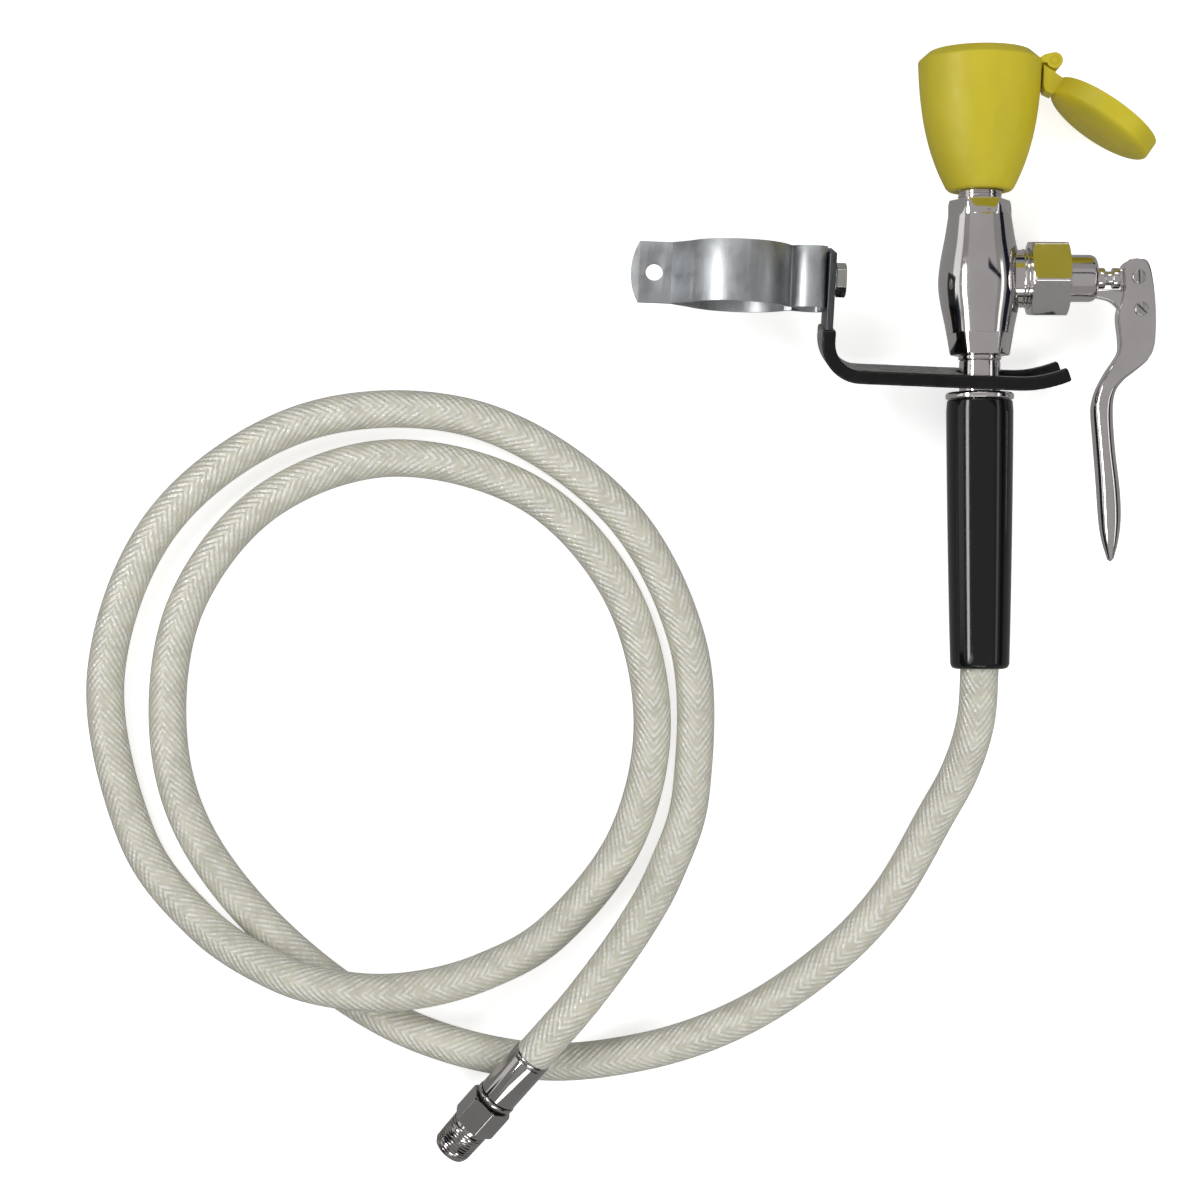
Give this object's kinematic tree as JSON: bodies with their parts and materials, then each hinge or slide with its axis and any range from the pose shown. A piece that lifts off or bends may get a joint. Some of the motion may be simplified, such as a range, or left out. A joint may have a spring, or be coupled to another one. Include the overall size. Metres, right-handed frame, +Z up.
{
  "type": "hand-held drench hose",
  "caption": "Hand-held emergency eye, face and body drench hose: a capped spray cup on a squeeze-lever valve with grip, braided hose, and a pipe-clamp hook.",
  "frame": {"origin": "under the middle of the wand, lever, lid and hook as they lie flat, on the surface they lie on; the free hose and its end fitting are left out", "axes": "+Z up from the surface the unit lies on; +Y along the wand from the hose end to the spray cup; +X from the wand towards the lever"},
  "size_m": [0.4519, 0.4686, 0.0559],
  "materials": {
    "yellow_plastic": "fine satin, moulded",
    "chrome": "polished",
    "stainless_steel": "satin",
    "brass": "machined",
    "black_rubber": "matt",
    "black_grip": "gloss",
    "clear_hose": "translucent with a braid under the surface",
    "zinc_plate": "galvanised",
    "dark_steel": "dull",
    "dipped_vinyl": "satin"
  },
  "bodies": {
    "wand": {"spray_cup": "yellow_plastic", "lid_pin": "yellow_plastic", "spray_head": "chrome", "spray_plate": "stainless_steel", "flow_control": "black_rubber", "outlet_nipple": "chrome", "valve_body": "chrome", "union_nut": "chrome", "bonnet": "chrome", "bonnet_gasket": "black_rubber", "stem_packing": "black_rubber", "packing_washer": "stainless_steel", "inlet_nipple": "chrome", "grip_collar": "chrome", "handle_tube": "stainless_steel", "grip": "black_grip", "hose": "clear_hose", "hose_ferrule": "chrome", "hose_tail": "brass", "swivel_seal": "black_rubber"},
    "lever": {"lever": "chrome", "pivot_screw": "stainless_steel", "stem_screw": "stainless_steel"},
    "stem": {"valve_stem": "chrome", "seat_washer": "black_rubber", "disc_holder": "brass", "return_spring": "stainless_steel"},
    "lid": {"dust_cover": "yellow_plastic"},
    "hook": {"hook_bracket": "dark_steel", "fork_coating": "dipped_vinyl", "bracket_bolt": "dark_steel", "lock_washer": "zinc_plate", "bracket_nut": "zinc_plate"},
    "clamp": {"pipe_clamp": "zinc_plate"},
    "inlet": {"inlet_adapter": "chrome"}
  },
  "joints": [
    {"name": "lever_squeeze", "type": "hinge", "parent": "wand", "child": "lever", "pos_m": [0.10335, 0.0209, 0.0258], "axis": [0, 0, 1], "range_deg": [-16, 0], "stiffness_Nm_per_rad": 0.6, "springref_deg": 14.32},
    {"name": "stem_pull", "type": "slide", "parent": "wand", "child": "stem", "axis": [1, 0, 0], "range_m": [0, 0.004], "deforming": ["return_spring"]},
    {"name": "lid_hinge", "type": "hinge", "parent": "wand", "child": "lid", "pos_m": [0.0674, 0.1249, 0.0258], "axis": [0, 0, 1], "range_deg": [0, 215]},
    {"name": "hook_slide", "type": "slide", "parent": "wand", "child": "hook", "axis": [-0.9998, 0.0209, 0], "range_m": [0, 0.06]},
    {"name": "clamp_swivel", "type": "hinge", "parent": "hook", "child": "clamp", "pos_m": [-0.02695, 0.03289, 0.03318], "axis": [0.9991, -0.0419, 0], "continuous": true},
    {"name": "inlet_swivel", "type": "hinge", "parent": "wand", "child": "inlet", "pos_m": [-0.17191, -0.31699, 0.01702], "axis": [-0.6145, -0.731, -0.2967], "continuous": true}
  ],
  "couplings": [
    {"joint": "stem_pull", "follows": "lever_squeeze", "m_per_rad": -0.01334}
  ]
}
